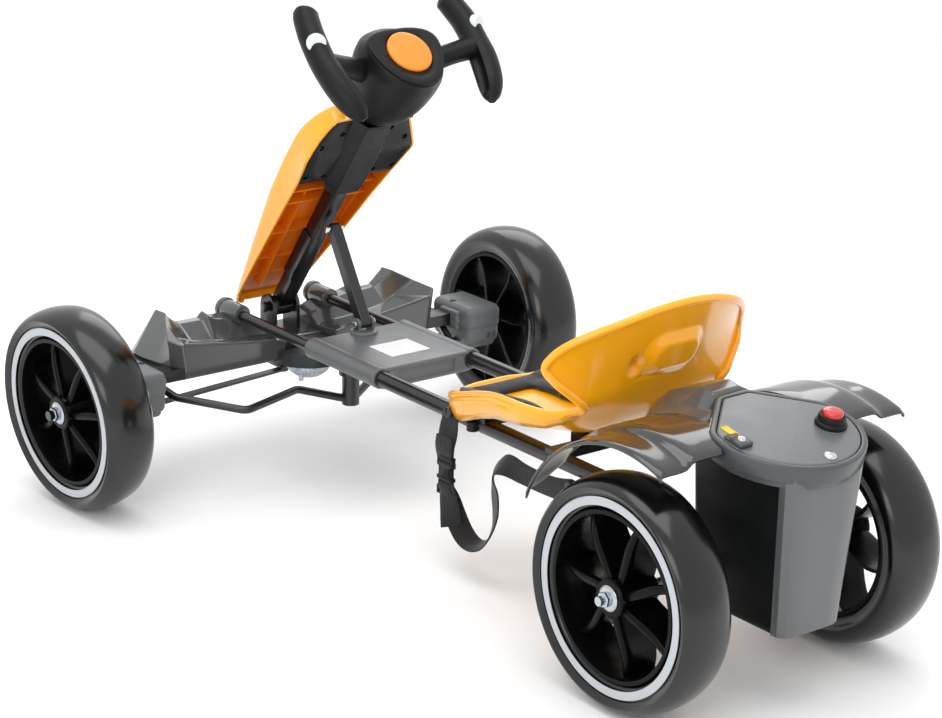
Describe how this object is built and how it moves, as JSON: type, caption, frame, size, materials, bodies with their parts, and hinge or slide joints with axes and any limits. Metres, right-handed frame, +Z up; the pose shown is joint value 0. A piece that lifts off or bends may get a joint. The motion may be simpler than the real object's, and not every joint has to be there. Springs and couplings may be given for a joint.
{
  "type": "child's folding electric kart",
  "caption": "Child's folding electric kart with moulded wheels, folding steering column, bucket seat and battery box.",
  "frame": {"origin": "on the ground, below the middle of the kart's length and width", "axes": "+X forward, +Y to the driver's left, +Z up; steering straight, column up, lid shut"},
  "size_m": [1.0626, 0.7552, 0.6111],
  "materials": {
    "tyre_foam": "moulded foam tyre, satin",
    "rim_black": "glossy black moulding",
    "frame_black": "gloss black powder coat",
    "strut_grey": "satin dark grey powder coat",
    "grey_gloss": "dark grey glossy moulding",
    "lid_grey": "satin grey moulding",
    "panel_yellow": "glossy yellow-orange moulding",
    "button_orange": "satin orange moulding",
    "button_red": "glossy red moulding",
    "pad_black": "black woven fabric",
    "belt_black": "black woven webbing",
    "grip_black": "fine-grained black moulding",
    "box_black": "satin black moulding",
    "zinc": "zinc-plated",
    "chrome": "polished chrome"
  },
  "bodies": {
    "chassis": {"frame_rail_left": "frame_black", "frame_rail_right": "frame_black", "deck_box": "grey_gloss", "axle_beam": "frame_black", "front_body": "grey_gloss", "column_bracket": "frame_black", "swivel_housing": "grey_gloss", "swivel_disc": "zinc", "centre_post": "grey_gloss", "brace_rod_left": "frame_black", "brace_rod_right": "frame_black", "knuckle_cover_left": "grey_gloss", "knuckle_cover_right": "grey_gloss", "seat_shell": "panel_yellow", "seat_pad": "pad_black", "lap_belt": "belt_black", "belt_buckle": "box_black", "seat_mount": "frame_black", "rear_box": "box_black", "box_collar": "grey_gloss", "rear_cover": "grey_gloss", "rear_fender_left": "grey_gloss", "rear_fender_right": "grey_gloss", "axle_hanger_left": "frame_black", "axle_hanger_right": "frame_black", "rear_axle": "zinc", "battery": "box_black", "drive_motor": "frame_black"},
    "rear_wheel_left": {"rear_tyre_left": "tyre_foam", "rear_rim_left": "rim_black"},
    "knuckle_left": {"steering_knuckle_left": "frame_black"},
    "front_wheel_left": {"front_tyre_left": "tyre_foam", "front_rim_left": "rim_black"},
    "tie_bar_body_left": {"tie_bar_left": "frame_black"},
    "rear_wheel_right": {"rear_tyre_right": "tyre_foam", "rear_rim_right": "rim_black"},
    "knuckle_right": {"steering_knuckle_right": "frame_black"},
    "front_wheel_right": {"front_tyre_right": "tyre_foam", "front_rim_right": "rim_black"},
    "tie_bar_body_right": {"tie_bar_right": "frame_black"},
    "steering_crank_body": {"steering_crank": "frame_black"},
    "column": {"column_tube": "frame_black", "column_cover": "grey_gloss", "column_fairing": "panel_yellow"},
    "strut": {"column_strut": "strut_grey"},
    "steering_wheel": {"steering_hub": "grip_black", "grip_left": "grip_black", "grip_right": "grip_black", "horn_button": "button_orange"},
    "lid": {"box_lid": "lid_grey", "stop_switch": "box_black", "stop_button": "button_red", "lid_lock": "chrome", "lid_clip": "lid_grey"}
  },
  "joints": [
    {"name": "rear_wheel_spin_left", "type": "hinge", "parent": "chassis", "child": "rear_wheel_left", "pos_m": [-0.394, 0.152, 0.125], "axis": [0, 1, 0], "continuous": true},
    {"name": "knuckle_turn_left", "type": "hinge", "parent": "chassis", "child": "knuckle_left", "pos_m": [0.406, 0.258, 0.139], "axis": [0, 0, 1], "range_deg": [-20.5, 20.5]},
    {"name": "front_wheel_spin_left", "type": "hinge", "parent": "knuckle_left", "child": "front_wheel_left", "pos_m": [0.406, 0.332, 0.12537], "axis": [-0.0522, 0.9969, -0.0593], "continuous": true},
    {"name": "tie_bar_turn_left", "type": "hinge", "parent": "knuckle_left", "child": "tie_bar_body_left", "pos_m": [0.384, 0.258, 0.1166], "axis": [0, 0, 1], "range_deg": [-22, 22]},
    {"name": "rear_wheel_spin_right", "type": "hinge", "parent": "chassis", "child": "rear_wheel_right", "pos_m": [-0.394, -0.152, 0.125], "axis": [0, 1, 0], "continuous": true},
    {"name": "knuckle_turn_right", "type": "hinge", "parent": "chassis", "child": "knuckle_right", "pos_m": [0.406, -0.258, 0.139], "axis": [0, 0, 1], "range_deg": [-20.5, 20.5]},
    {"name": "front_wheel_spin_right", "type": "hinge", "parent": "knuckle_right", "child": "front_wheel_right", "pos_m": [0.406, -0.332, 0.12537], "axis": [0.0522, 0.9969, 0.0593], "continuous": true},
    {"name": "tie_bar_turn_right", "type": "hinge", "parent": "knuckle_right", "child": "tie_bar_body_right", "pos_m": [0.384, -0.258, 0.1166], "axis": [0, 0, 1], "range_deg": [-22, 22]},
    {"name": "steering_crank_turn", "type": "hinge", "parent": "chassis", "child": "steering_crank_body", "pos_m": [0.459, 0, 0.125], "axis": [0, 0, 1], "range_deg": [-22, 22]},
    {"name": "column_fold", "type": "hinge", "parent": "chassis", "child": "column", "pos_m": [0.464, 0, 0.185], "axis": [0, -1, 0], "range_deg": [0, 36]},
    {"name": "strut_swing", "type": "hinge", "parent": "column", "child": "strut", "pos_m": [0.34314, 0, 0.31401], "axis": [0, -1, 0], "range_deg": [-90.9, 0]},
    {"name": "steering_turn", "type": "hinge", "parent": "column", "child": "steering_wheel", "pos_m": [0.20589, 0, 0.55362], "axis": [-0.5736, 0, 0.8192], "range_deg": [-22, 22]},
    {"name": "lid_swing", "type": "hinge", "parent": "chassis", "child": "lid", "pos_m": [-0.37772, 0, 0.29953], "axis": [0, 1, 0], "range_deg": [0, 70]}
  ],
  "couplings": [
    {"joint": "knuckle_turn_left", "follows": "steering_turn", "ratio": 0.93},
    {"joint": "tie_bar_turn_left", "follows": "steering_turn", "ratio": -0.99},
    {"joint": "knuckle_turn_right", "follows": "steering_turn", "ratio": 0.93},
    {"joint": "tie_bar_turn_right", "follows": "steering_turn", "ratio": -0.99},
    {"joint": "steering_crank_turn", "follows": "steering_turn", "ratio": 1},
    {"joint": "strut_swing", "follows": "column_fold", "ratio": -2.5099}
  ]
}
